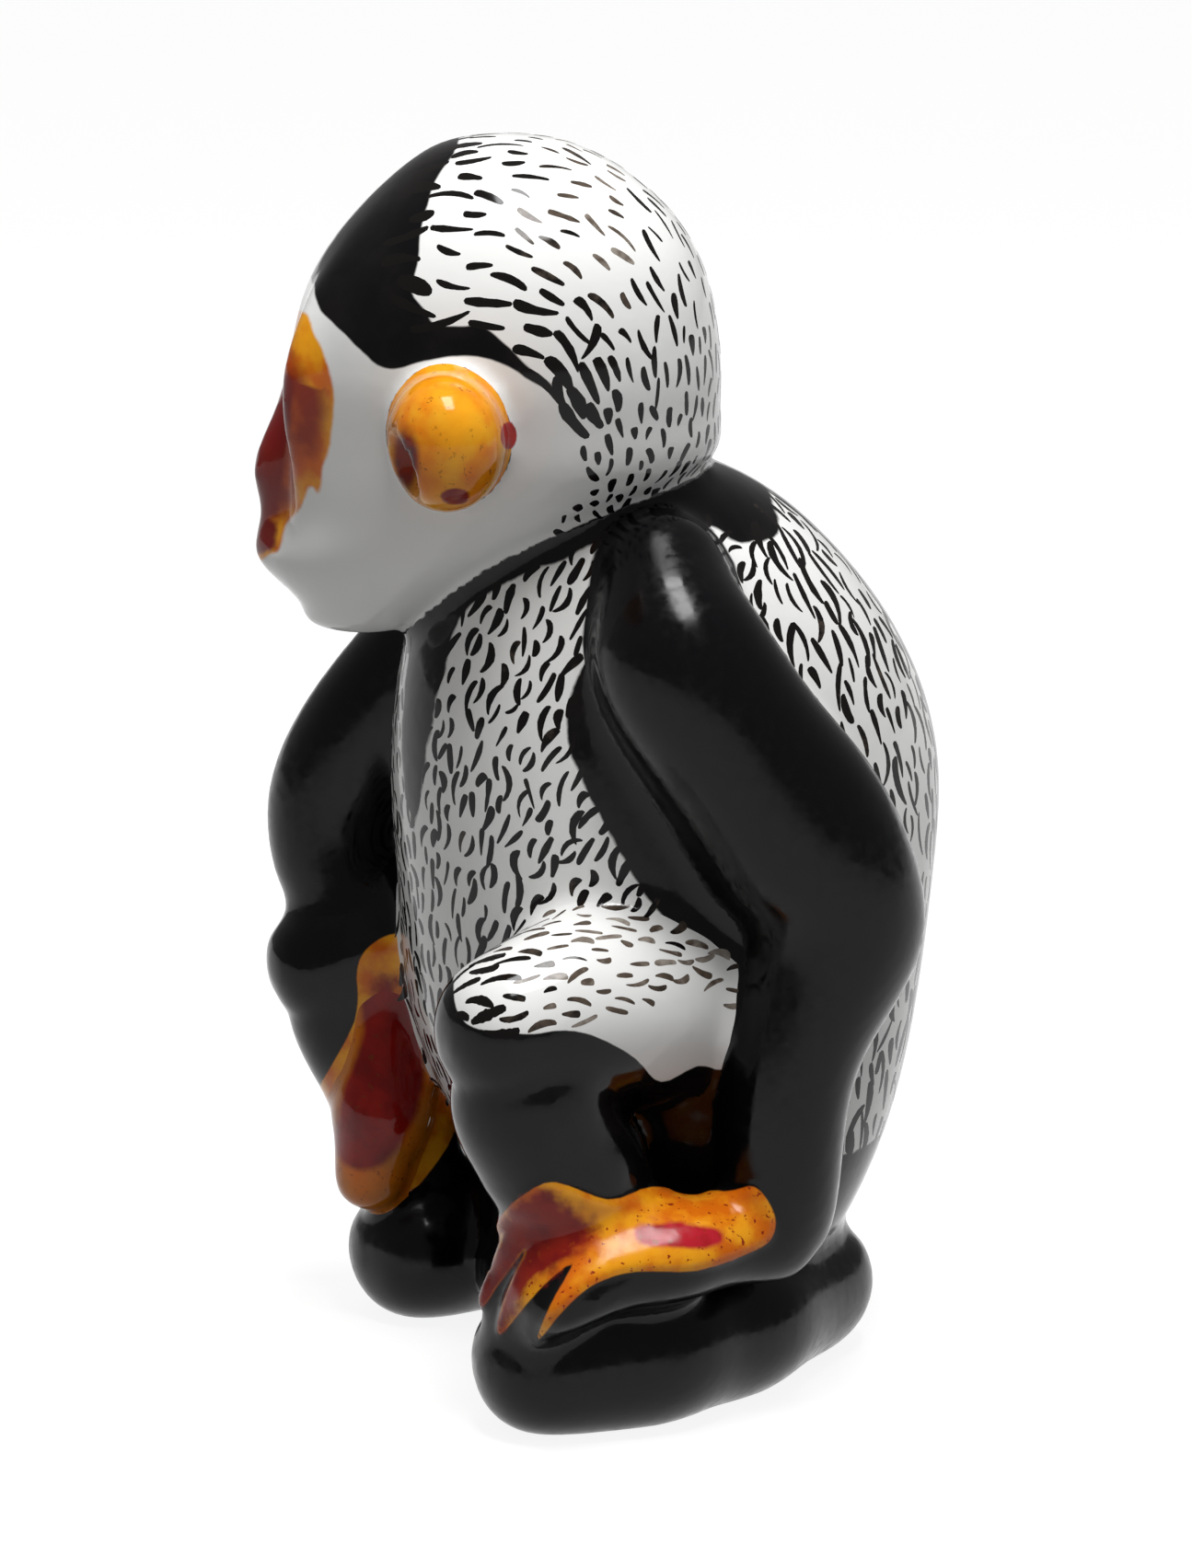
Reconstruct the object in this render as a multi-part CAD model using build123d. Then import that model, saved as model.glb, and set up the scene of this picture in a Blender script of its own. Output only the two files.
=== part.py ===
from build123d import *
from math import cos, exp, pi, radians, sin
import os

# A squatting monkey in slip-cast porcelain, in millimetres.
# It faces -Y, its left side is +X, and it stands on Z = 0.
# Each casting is a loft through oval rings. Where two castings are luted together,
# the smaller one is trimmed to the face of the larger one.

# Torso casting
BODY_WIDTH = 40.0
BODY_DEPTH = 38.0
BODY_HEIGHT = 70.0
BASE_LIFT = 0.4
WALL = 3.2
VENT_DIAMETER = 5.0
NECK_PASSAGE_DIAMETER = 6.0

# Head casting, with the relief of its face: how far each feature stands out, or sinks in
HEAD_WIDTH = 29.0
HEAD_LENGTH = 34.0
HEAD_HEIGHT = 38.0
HEAD_TURN = 28.0
HEAD_WALL = 4.3
NOSE_RELIEF = 2.8
RIDGE_RELIEF = 1.8
LIPS_RELIEF = 1.6
GROOVE_RELIEF = -1.0

# Ears
EAR_WIDTH = 8.4
EAR_HEIGHT = 9.8
EAR_LENGTH = 5.0
EAR_HOLLOW_DIAMETER = 5.0

# Limbs
ARM_THICKNESS = 14.0
LEG_THICKNESS = 15.0
FOOT_WIDTH = 14.0
FOOT_HEIGHT = 12.0
HAND_WIDTH = 10.0
HAND_THICKNESS = 7.0
FINGER_THICKNESS = 3.4
FINGER_COUNT = 4

# Turns, in degrees, at which half a ring has its points and a round end its rings
HALF_RING_TURNS = (0, 45, 90, 135, 180)
HEAD_HALF_RING_TURNS = (0, 8, 16, 24, 32, 42, 56, 76, 100, 125, 152, 180)
ROUND_END_TURNS = (35, 68)
CUT_OVERRUN = 1.0

# Where the chin and the neck's axis are on the body: across, back and up
NECK_SHARES = (0.000, -0.105, 0.810)

# Torso rings from the base up: height, centre, half width, half depth
TORSO_BASE_SHARES = (0.150, 0.350, 0.290)
TORSO_RING_SHARES = (
    (0.137, 0.150, 0.400, 0.337),
    (0.219, 0.166, 0.450, 0.400),
    (0.347, 0.152, 0.487, 0.494),
    (0.520, 0.157, 0.487, 0.545),
    (0.623, 0.158, 0.462, 0.565),
    (0.779, 0.125, 0.412, 0.508),
    (0.893, 0.070, 0.325, 0.395),
    (0.971, -0.035, 0.225, 0.290),
)
TORSO_TOP_SHARES = (1.007, -0.092)

# Head rings from the flat under the chin up: height, centre, half width, half length
HEAD_RING_SHARES = (
    (0.000, -0.400, 0.100, 0.090),
    (0.040, -0.386, 0.175, 0.152),
    (0.092, -0.350, 0.240, 0.218),
    (0.140, -0.309, 0.297, 0.270),
    (0.192, -0.245, 0.352, 0.329),
    (0.245, -0.182, 0.400, 0.382),
    (0.297, -0.136, 0.438, 0.428),
    (0.350, -0.100, 0.469, 0.462),
    (0.430, -0.095, 0.488, 0.468),
    (0.508, -0.094, 0.500, 0.468),
    (0.587, -0.092, 0.495, 0.459),
    (0.666, -0.088, 0.474, 0.439),
    (0.780, -0.078, 0.410, 0.374),
    (0.880, -0.078, 0.300, 0.268),
    (0.940, -0.088, 0.183, 0.165),
    (0.960, -0.094, 0.100, 0.090),
)
CROWN_SHARES = (0.968, -0.096)

# Face features: turn from straight ahead and its spread, height and its spread, relief
FACE_SHARES = (
    (0, 11, 0.310, 0.130, NOSE_RELIEF),
    (24, 8, 0.480, 0.200, RIDGE_RELIEF),
    (-24, 8, 0.480, 0.200, RIDGE_RELIEF),
    (13, 5, 0.420, 0.160, GROOVE_RELIEF),
    (-13, 5, 0.420, 0.160, GROOVE_RELIEF),
    (0, 34, 0.150, 0.060, LIPS_RELIEF),
)

# Places on the head, as shares of its width, length and height
HEAD_HOLLOW_SHARES = (0.000, -0.090, 0.535)
EAR_ROOT_SHARES = (0.420, -0.210, 0.436)
EAR_HOLLOW_SHARES = (0.620, -0.310, 0.396)

# Limb stations: shares of the body's width, depth and height, then of the limb's thickness
LEFT_ARM_SHARES = (
    (0.300, -0.026, 0.886, 0.357),
    (0.388, -0.050, 0.831, 0.450),
    (0.463, 0.047, 0.720, 0.486),
    (0.513, 0.179, 0.604, 0.507),
    (0.530, 0.224, 0.529, 0.471),
    (0.538, 0.147, 0.421, 0.364),
    (0.540, 0.105, 0.306, 0.321),
    (0.520, 0.105, 0.214, 0.293),
)
RIGHT_ARM_SHARES = (
    (-0.300, -0.050, 0.850, 0.329),
    (-0.375, -0.145, 0.763, 0.365),
    (-0.463, -0.265, 0.650, 0.395),
    (-0.500, -0.330, 0.554, 0.370),
    (-0.455, -0.329, 0.479, 0.321),
    (-0.370, -0.295, 0.424, 0.257),
)
LEFT_THIGH_SHARES = (
    (0.275, 0.158, 0.414, 0.533),
    (0.338, -0.089, 0.443, 0.507),
    (0.388, -0.276, 0.450, 0.467),
    (0.400, -0.395, 0.443, 0.400),
)
LEFT_SHIN_SHARES = (
    (0.390, -0.290, 0.443, 0.360),
    (0.400, -0.358, 0.386, 0.393),
    (0.400, -0.329, 0.321, 0.400),
    (0.400, -0.250, 0.243, 0.367),
    (0.390, -0.171, 0.157, 0.320),
)
RIGHT_THIGH_SHARES = (
    (-0.300, 0.132, 0.414, 0.500),
    (-0.370, -0.132, 0.429, 0.467),
    (-0.415, -0.290, 0.414, 0.410),
    (-0.440, -0.362, 0.400, 0.353),
)
RIGHT_SHIN_SHARES = (
    (-0.413, -0.263, 0.414, 0.293),
    (-0.433, -0.325, 0.350, 0.333),
    (-0.405, -0.285, 0.286, 0.333),
    (-0.365, -0.225, 0.171, 0.280),
)
# Foot stations: shares of the body's width and depth, then of the foot's height, width and height
LEFT_FOOT_SHARES = (
    (0.200, 0.360, 0.432, 0.390, 0.467),
    (0.290, 0.190, 0.443, 0.450, 0.487),
    (0.370, -0.020, 0.449, 0.480, 0.500),
    (0.400, -0.200, 0.455, 0.480, 0.510),
    (0.385, -0.320, 0.432, 0.430, 0.475),
)
RIGHT_FOOT_SHARES = (
    (-0.190, 0.320, 0.432, 0.387, 0.467),
    (-0.280, 0.170, 0.443, 0.450, 0.487),
    (-0.330, 0.000, 0.449, 0.470, 0.500),
    (-0.338, -0.140, 0.455, 0.470, 0.500),
    (-0.330, -0.220, 0.432, 0.450, 0.475),
)
# Palm stations: shares of the body's width, depth and height, then of the hand's width and thickness
LEFT_PALM_SHARES = (
    (0.525, 0.100, 0.193, 0.380, 0.457),
    (0.535, -0.068, 0.203, 0.440, 0.486),
    (0.510, -0.213, 0.194, 0.500, 0.486),
    (0.490, -0.290, 0.190, 0.540, 0.440),
    (0.470, -0.370, 0.165, 0.560, 0.400),
)
RIGHT_PALM_SHARES = (
    (-0.350, -0.279, 0.410, 0.320, 0.457),
    (-0.338, -0.290, 0.349, 0.320, 0.457),
    (-0.325, -0.305, 0.279, 0.410, 0.514),
    (-0.313, -0.332, 0.213, 0.410, 0.471),
    (-0.313, -0.347, 0.171, 0.320, 0.400),
)
# The innermost and the outermost finger of the left hand: root, middle and tip
INNER_FINGER_SHARES = ((0.425, -0.332, 0.229), (0.390, -0.408, 0.199), (0.355, -0.458, 0.150))
OUTER_FINGER_SHARES = ((0.575, -0.218, 0.191), (0.558, -0.342, 0.169), (0.515, -0.418, 0.120))
FINGER_TAPER_SHARES = (0.50, 0.48, 0.26)


def body_place(shares):
    """The point at these shares of the body's width, depth and height."""
    return Vector(shares[0] * BODY_WIDTH, shares[1] * BODY_DEPTH, shares[2] * BODY_HEIGHT)


def head_place(shares):
    """The point at these shares of the head's width, length and height, with the head facing -Y."""
    return Vector(shares[0] * HEAD_WIDTH, shares[1] * HEAD_LENGTH, shares[2] * HEAD_HEIGHT)


def closed_curve(halves, turns, start_slope, middle_slope):
    """The face inside two half curves that run on smoothly into each other."""
    slopes = [start_slope * pi, middle_slope * pi]
    edges = []
    for points, tangents in zip(halves, (slopes, slopes[::-1])):
        parameters = [turn / turns[-1] for turn in turns]
        edges.append(Edge.make_spline(points, tangents=tangents, parameters=parameters, scale=False))
        turns = [turns[-1] - turn for turn in reversed(turns)]
    return Face(Wire(edges))


def ring(centre, along, half_across, half_up, across=Vector(1, 0, 0)):
    """A closed oval across the direction along, with its first axis nearest to across."""
    level = (across - along * along.dot(across)).normalized()
    plane = Plane(origin=centre, x_dir=level, z_dir=along)
    upper = [(half_across * cos(radians(t)), half_up * sin(radians(t))) for t in HALF_RING_TURNS]
    lower = [(-x, -y) for x, y in upper]
    halves = [[plane.from_local_coords(point) for point in half] for half in (upper, lower)]
    slope = plane.y_dir * half_up
    return closed_curve(halves, HALF_RING_TURNS, slope, -slope)


def round_end(place, outwards, half_sizes, along, across):
    """The rings and the tip of a round end on a limb that runs along a direction."""
    reach = outwards * min(half_sizes)
    rings = []
    for turn in (radians(degrees) for degrees in ROUND_END_TURNS):
        narrowed = [half * cos(turn) for half in half_sizes]
        rings.append(ring(place + reach * sin(turn), along, *narrowed, across))
    return rings, Vertex(*(place + reach))


def limb(places, half_sizes, across=Vector(1, 0, 0)):
    """A round-ended limb through rings at places, with half sizes across and up at each."""
    steps = [(b - a).normalized() for a, b in zip(places, places[1:])]
    alongs = [steps[0], *[(a + b).normalized() for a, b in zip(steps, steps[1:])], steps[-1]]
    rings = [ring(p, d, *h, across) for p, d, h in zip(places, alongs, half_sizes)]
    first_rings, first_tip = round_end(places[0], -alongs[0], half_sizes[0], alongs[0], across)
    last_rings, last_tip = round_end(places[-1], alongs[-1], half_sizes[-1], alongs[-1], across)
    return loft([first_tip, *reversed(first_rings), *rings, *last_rings, last_tip])


def body_limb(shares, thickness):
    """A limb with round rings, placed on the body."""
    return limb([body_place(s) for s in shares], [(s[3] * thickness, s[3] * thickness) for s in shares])


def foot(shares):
    """A foot with oval rings, cut flat where it stands."""
    places = [Vector(x * BODY_WIDTH, y * BODY_DEPTH, z * FOOT_HEIGHT) for x, y, z, _, _ in shares]
    form = limb(places, [(across * FOOT_WIDTH, up * FOOT_HEIGHT) for _, _, _, across, up in shares])
    box = form.bounding_box()
    ground = Box(box.size.X + CUT_OVERRUN, box.size.Y + CUT_OVERRUN, box.size.Z)
    return form - Pos(box.center().X, box.center().Y, -box.size.Z / 2) * ground


def palm(shares):
    """A palm with oval rings, placed on the body."""
    half_sizes = [(across * HAND_WIDTH, up * HAND_THICKNESS) for _, _, _, across, up in shares]
    return limb([body_place(station) for station in shares], half_sizes)


def torso_form(inset=0):
    """The torso, or with an inset the space inside it, one wall in from its outside."""
    rise = 1 - 2 * inset / BODY_HEIGHT
    rings = []
    for height, centre, half_width, half_depth in ((0, *TORSO_BASE_SHARES), *TORSO_RING_SHARES):
        place = Vector(0, centre * BODY_DEPTH, BASE_LIFT + inset + height * BODY_HEIGHT * rise)
        half_sizes = (half_width * BODY_WIDTH - inset, half_depth * BODY_DEPTH - inset)
        rings.append(ring(place, Vector(0, 0, 1), *half_sizes))
    top_height, top_centre = TORSO_TOP_SHARES
    top = Vertex(0, top_centre * BODY_DEPTH, BASE_LIFT + inset + top_height * BODY_HEIGHT * rise)
    return loft([*rings, top])


def head_hollow():
    """The egg-shaped space inside the head."""
    sizes = [size / 2 - HEAD_WALL for size in (HEAD_WIDTH, HEAD_LENGTH, HEAD_HEIGHT)]
    return Pos(*head_place(HEAD_HOLLOW_SHARES)) * scale(Sphere(1), by=tuple(sizes))


def face_relief(turn, height):
    """How far the face stands out at this turn from straight ahead and this share of the height."""
    relief = 0
    for middle, spread, height_share, spread_share, size in FACE_SHARES:
        sideways = (turn - middle) / spread
        upwards = (height - height_share) / spread_share
        relief += size * exp(-sideways**2 - upwards**2)
    return relief


def head_ring(height, centre, half_width, half_length):
    """A level section through the head, with the relief of the face on its front."""
    left_half = []
    for turn in HEAD_HALF_RING_TURNS:
        outwards = Vector(sin(radians(turn)), -cos(radians(turn)), 0)
        oval = Vector(outwards.X * half_width * HEAD_WIDTH, outwards.Y * half_length * HEAD_LENGTH, 0)
        left_half.append(head_place((0, centre, height)) + oval + outwards * face_relief(turn, height))
    right_half = [Vector(-point.X, point.Y, point.Z) for point in reversed(left_half)]
    back_slope = Vector(-half_width * HEAD_WIDTH, 0, 0)
    front_slope = Vector(half_width * HEAD_WIDTH + face_relief(0, height), 0, 0)
    return closed_curve([left_half, right_half], HEAD_HALF_RING_TURNS, front_slope, back_slope)


def head_form():
    crown_height, crown_centre = CROWN_SHARES
    crown = Vertex(*head_place((0, crown_centre, crown_height)))
    return loft([*[head_ring(*shares) for shares in HEAD_RING_SHARES], crown])


def ear_form(side):
    across, ahead, height = EAR_ROOT_SHARES
    root = head_place((side * across, ahead, height))
    half_sizes = (EAR_WIDTH / 2, EAR_HEIGHT / 2)
    tip = root + Vector(side * EAR_LENGTH, 0, 0)
    ear = limb([root, tip], [half_sizes, half_sizes], across=Vector(0, 1, 0))
    across, ahead, height = EAR_HOLLOW_SHARES
    return ear - Pos(*head_place((side * across, ahead, height))) * Sphere(EAR_HOLLOW_DIAMETER / 2)


def left_hand_form():
    hand = palm(LEFT_PALM_SHARES)
    half_sizes = [(share * FINGER_THICKNESS, share * FINGER_THICKNESS) for share in FINGER_TAPER_SHARES]
    for finger in range(FINGER_COUNT):
        spread = finger / (FINGER_COUNT - 1)
        ends = zip(INNER_FINGER_SHARES, OUTER_FINGER_SHARES)
        places = [body_place(inner) * (1 - spread) + body_place(outer) * spread for inner, outer in ends]
        hand += limb(places, half_sizes)
    return hand


def on_neck(form):
    """A form in the head's own frame, turned to its right and set on the neck."""
    return Pos(*body_place(NECK_SHARES)) * Rot(0, 0, -HEAD_TURN) * form


def trimmed(form, *others):
    """What is left of a casting where it is luted onto others."""
    for other in others:
        form = form - other
    return max(form.solids(), key=lambda solid: solid.volume)


torso = torso_form()
head = on_neck(head_form())
left_leg = body_limb(LEFT_THIGH_SHARES, LEG_THICKNESS) + body_limb(LEFT_SHIN_SHARES, LEG_THICKNESS)
right_leg = body_limb(RIGHT_THIGH_SHARES, LEG_THICKNESS) + body_limb(RIGHT_SHIN_SHARES, LEG_THICKNESS)
left_arm = body_limb(LEFT_ARM_SHARES, ARM_THICKNESS)
right_arm = body_limb(RIGHT_ARM_SHARES, ARM_THICKNESS)
left_foot = foot(LEFT_FOOT_SHARES)
right_foot = foot(RIGHT_FOOT_SHARES)
left_hand = left_hand_form()
right_hand = palm(RIGHT_PALM_SHARES)

# The base has a vent, and the neck a passage, so that no air is shut in when the piece is fired
vent_place = (0, TORSO_BASE_SHARES[0] * BODY_DEPTH, BASE_LIFT + WALL / 2)
vent = Pos(*vent_place) * Cylinder(VENT_DIAMETER / 2, WALL + 2 * CUT_OVERRUN)
neck_top = BASE_LIFT + TORSO_TOP_SHARES[0] * BODY_HEIGHT
passage_height = 2 * WALL + 2 * CUT_OVERRUN
passage_place = (0, body_place(NECK_SHARES).Y, neck_top - WALL)
passage = Pos(*passage_place) * Cylinder(NECK_PASSAGE_DIAMETER / 2, passage_height)

castings = {
    "torso": trimmed(torso, torso_form(inset=WALL), vent, passage),
    "head": trimmed(head, on_neck(head_hollow()), torso),
    "left_leg": trimmed(left_leg, torso),
    "right_leg": trimmed(right_leg, torso),
    "left_foot": trimmed(left_foot, torso, left_leg),
    "right_foot": trimmed(right_foot, torso, right_leg),
    "left_arm": trimmed(left_arm, torso, left_leg, left_foot),
    "right_arm": trimmed(right_arm, torso, right_leg),
    "left_hand": trimmed(left_hand, left_foot, left_arm, left_leg, torso),
    "right_hand": trimmed(right_hand, right_arm, right_leg, right_foot, torso),
    "left_ear": trimmed(on_neck(ear_form(1)), head),
    "right_ear": trimmed(on_neck(ear_form(-1)), head),
}

# The origin is on the ground, under the middle of the whole figure
whole = Compound(children=[Part() + casting for casting in castings.values()]).bounding_box()
to_middle = Pos(-whole.center().X, -whole.center().Y, 0)

os.makedirs("parts", exist_ok=True)
for name, casting in castings.items():
    export_step(to_middle * casting, f"parts/{name}.step")
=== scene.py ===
import math

import bmesh
import bpy
import numpy as np
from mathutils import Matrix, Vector
from mathutils.bvhtree import BVHTree


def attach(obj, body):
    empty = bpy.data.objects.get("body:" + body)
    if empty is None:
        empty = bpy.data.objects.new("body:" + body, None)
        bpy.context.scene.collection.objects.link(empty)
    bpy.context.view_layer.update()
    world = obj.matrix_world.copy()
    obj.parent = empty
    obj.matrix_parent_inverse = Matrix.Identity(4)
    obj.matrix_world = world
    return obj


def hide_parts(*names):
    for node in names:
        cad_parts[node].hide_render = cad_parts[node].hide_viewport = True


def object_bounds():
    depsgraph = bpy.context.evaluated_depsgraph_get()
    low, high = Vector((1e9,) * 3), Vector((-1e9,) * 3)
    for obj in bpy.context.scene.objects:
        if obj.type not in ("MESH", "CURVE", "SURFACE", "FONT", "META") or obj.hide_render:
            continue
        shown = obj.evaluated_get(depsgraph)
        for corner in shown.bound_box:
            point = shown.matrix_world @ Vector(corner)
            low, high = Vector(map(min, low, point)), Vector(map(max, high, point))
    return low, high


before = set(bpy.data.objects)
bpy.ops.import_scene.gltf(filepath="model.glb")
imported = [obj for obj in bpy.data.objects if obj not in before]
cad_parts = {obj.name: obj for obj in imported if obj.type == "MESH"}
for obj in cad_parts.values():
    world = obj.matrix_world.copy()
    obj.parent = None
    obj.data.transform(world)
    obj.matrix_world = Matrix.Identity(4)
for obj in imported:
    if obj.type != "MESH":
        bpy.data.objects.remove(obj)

# Clay body: twelve porcelain slip castings, luted together with slip while soft and fettled,
# so that their joints are rounded hollows and the whole reads as one form under its glaze.
# They are joined in one fine mesh here, and each later section takes its own piece of it.
cad_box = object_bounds()
MM = 0.001
GRAIN = 0.38 * MM
# A plug shuts the vent above its mouth, and a ball of slip fills the crease at the left fingertips
PLUG_PLACE = (-1.27 * MM, 4.04 * MM, 2.7 * MM)
PLUG_RADIUS = 3.4 * MM
PLUG_HEIGHT = 1.0 * MM
SLIP_PLACE = (14.0 * MM, -16.8 * MM, 9.6 * MM)
SLIP_RADIUS = 2.4 * MM
OWNER_ROUNDS = 6
LUTING_RINGS = 9
LUTING_ROUNDS = 42
LUTING_BLEND_ROUNDS = 4
LUTING_EASE = 0.6
LUTING_STRENGTH = {"head": 0.12, "left_ear": 0.6, "right_ear": 0.6, "right_hand": 0.12}
SOFTENING_ROUNDS = 8
EASE = 0.5
MELTING_ROUNDS = 50
MELTING_BLEND_ROUNDS = 8
SEAM_ROUNDS = 12
SEAM_BORDER = 2
FINGER_RELIEF = 0.35 * MM
RELIEF_EDGE = 0.6
RELIEF_AT_EDGE = 0.4
HUB_TRIES = 150
HUB_REACH = 2.0 * MM
WALL_DEPTH = 0.3 * MM
PHOTO_CENTRE = np.array([647.0, 848.0])
PHOTO_TARGET = np.array([-1.267, -1.660, 44.5])
PHOTO_DISTANCE = 420.0
PHOTO_SCALE = 14.4
PHOTO_TURN = math.radians(62)
PHOTO_RISE = math.radians(13)
to_viewer = np.array([
    math.sin(PHOTO_TURN) * math.cos(PHOTO_RISE),
    -math.cos(PHOTO_TURN) * math.cos(PHOTO_RISE),
    math.sin(PHOTO_RISE),
])
to_right = np.array([math.cos(PHOTO_TURN), math.sin(PHOTO_TURN), 0.0])
to_top = np.cross(to_viewer, to_right)
OUTLINE_MARGIN = 5.0
FAR_OUTSIDE = -9.0
LEFT_HAND_SIDE = 6.0
LEFT_HAND_TURN = -0.1
HAND_OUTLINE = (
    (841, 1338), (824, 1357), (757, 1381), (690, 1382), (647, 1395), (614, 1422), (584, 1456), (597, 1419),
    (622, 1372), (585, 1402), (543, 1450), (546, 1414), (572, 1356), (545, 1390), (523, 1420), (526, 1390),
    (547, 1340), (521, 1385), (512, 1402), (519, 1371), (533, 1338), (561, 1304), (602, 1285), (661, 1304),
    (709, 1290), (786, 1295), (819, 1290), (838, 1314),
)


def node_shell(name):
    """A CAD node's points and triangles."""
    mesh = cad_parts[name].data
    mesh.calc_loop_triangles()
    points = np.empty(len(mesh.vertices) * 3, np.float32)
    mesh.vertices.foreach_get("co", points)
    corners = np.empty(len(mesh.loop_triangles) * 3, np.int32)
    mesh.loop_triangles.foreach_get("vertices", corners)
    return points.reshape(-1, 3), corners.reshape(-1, 3)


def flat_view(points):
    """Picture coordinates, as the photograph has them, of points in millimetres."""
    offset = points - PHOTO_TARGET
    scale = PHOTO_SCALE * PHOTO_DISTANCE / (PHOTO_DISTANCE - offset @ to_viewer)
    across = PHOTO_CENTRE[0] + scale * (offset @ to_right)
    down = PHOTO_CENTRE[1] - scale * (offset @ to_top)
    return np.stack([across, down], 1)


def depth_in(places, outline):
    """How far places lie inside a brushed outline, in millimetres, below zero outside it."""
    marks = np.array(outline, float)
    before, after, beyond = (np.roll(marks, -n, 0) for n in (-1, 1, 2))
    curve = []
    for t in (0, 0.25, 0.5, 0.75):
        bend_out = (2 * before - 5 * marks + 4 * after - beyond) * t * t
        bend_back = (3 * marks - before - 3 * after + beyond) * t * t * t
        curve.append(0.5 * (2 * marks + (after - before) * t + bend_out + bend_back))
    corners = np.stack(curve, 1).reshape(-1, 2)
    margin = OUTLINE_MARGIN * PHOTO_SCALE
    inner = ((places > corners.min(0) - margin) & (places < corners.max(0) + margin)).all(1)
    close = places[inner]
    best = np.full(len(close), 1e9)
    inside = np.zeros(len(close), bool)
    for start, end in zip(corners, np.roll(corners, -1, 0)):
        step = end - start
        share = np.clip(((close - start) @ step) / (step @ step), 0, 1)
        best = np.minimum(best, np.linalg.norm(close - start - share[:, None] * step, axis=1))
        if start[1] != end[1]:
            crosses = (start[1] > close[:, 1]) != (end[1] > close[:, 1])
            inside ^= crosses & (close[:, 0] < start[0] + (close[:, 1] - start[1]) / step[1] * step[0])
    depth = np.full(len(places), -margin)
    depth[inner] = np.where(inside, best, -best)
    return depth / PHOTO_SCALE


def left_hand_depth(points, directions):
    """How far points in millimetres lie inside the left hand's paint, on the side towards the viewer."""
    shown = (directions @ to_viewer > LEFT_HAND_TURN) & (points[:, 0] > LEFT_HAND_SIDE)
    return np.where(shown, depth_in(flat_view(points), HAND_OUTLINE), FAR_OUTSIDE)


def normals():
    """The joined surface's outward direction at each point."""
    corners = surface[quads]
    turns = np.cross(corners[:, 2] - corners[:, 0], corners[:, 3] - corners[:, 1])
    total = np.empty_like(surface)
    for column in range(3):
        total[:, column] = np.bincount(quads.ravel(), np.repeat(turns[:, column], 4), point_count)
    return total / np.linalg.norm(total, axis=1)[:, None]


def spread(values):
    """The mean of each point's neighbours on the joined surface."""
    total = np.empty_like(values)
    for column in range(values.shape[1]):
        total[:, column] = np.bincount(edges[:, 0], values[edges[:, 1], column], point_count)
        total[:, column] += np.bincount(edges[:, 1], values[edges[:, 0], column], point_count)
    return total / valence[:, None]


node_names = sorted(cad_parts)
all_points, all_triangles, owners = [], [], []
node_trees = {}
for index, name in enumerate(node_names):
    points, triangles = node_shell(name)
    node_trees[name] = BVHTree.FromPolygons(points.tolist(), triangles.tolist())
    all_triangles.append(triangles + sum(len(p) for p in all_points))
    all_points.append(points)
    owners.append(np.full(len(triangles), index))
owners = np.concatenate(owners)
shell_points = np.concatenate(all_points)
shell_triangles = np.concatenate(all_triangles)
whole_tree = BVHTree.FromPolygons(shell_points.tolist(), shell_triangles.tolist())
joined_mesh = bpy.data.meshes.new("joined_clay")
joined_mesh.from_pydata(shell_points.tolist(), [], shell_triangles.tolist())
shaper = bmesh.new()
shaper.from_mesh(joined_mesh)
plug = bmesh.ops.create_cone(
    shaper, cap_ends=True, segments=32, radius1=PLUG_RADIUS, radius2=PLUG_RADIUS, depth=PLUG_HEIGHT
)
bmesh.ops.translate(shaper, verts=plug["verts"], vec=PLUG_PLACE)
slip = bmesh.ops.create_icosphere(shaper, subdivisions=3, radius=SLIP_RADIUS)
bmesh.ops.translate(shaper, verts=slip["verts"], vec=SLIP_PLACE)
shaper.to_mesh(joined_mesh)
shaper.free()
joined = bpy.data.objects.new("joined_clay", joined_mesh)
bpy.context.scene.collection.objects.link(joined)
remesh = joined.modifiers.new("remesh", "REMESH")
remesh.mode = "VOXEL"
remesh.voxel_size = GRAIN
fine_mesh = bpy.data.meshes.new_from_object(joined.evaluated_get(bpy.context.evaluated_depsgraph_get()))
bpy.data.objects.remove(joined)
point_count = len(fine_mesh.vertices)
surface = np.empty(point_count * 3, np.float32)
fine_mesh.vertices.foreach_get("co", surface)
surface = surface.reshape(-1, 3).astype(float)
edges = np.empty(len(fine_mesh.edges) * 2, np.int32)
fine_mesh.edges.foreach_get("vertices", edges)
edges = edges.reshape(-1, 2)
quads = np.array([face.vertices[:] for face in fine_mesh.polygons], np.int32)

# Only the outer skin is kept, not the walls of the hollows
wall = np.arange(point_count)
settled = False
while not settled:
    earlier = wall
    wall = earlier.copy()
    np.minimum.at(wall, edges[:, 0], earlier[edges[:, 1]])
    np.minimum.at(wall, edges[:, 1], earlier[edges[:, 0]])
    wall = wall[wall]
    settled = (wall == earlier).all()
outside = wall == wall[surface[:, 2].argmax()]
renumbered = np.cumsum(outside) - 1
edges = renumbered[edges[outside[edges[:, 0]]]]
quads = renumbered[quads[outside[quads[:, 0]]]]
surface = surface[outside]
point_count = len(surface)
valence = np.bincount(edges.ravel(), minlength=point_count).astype(float)

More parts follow.
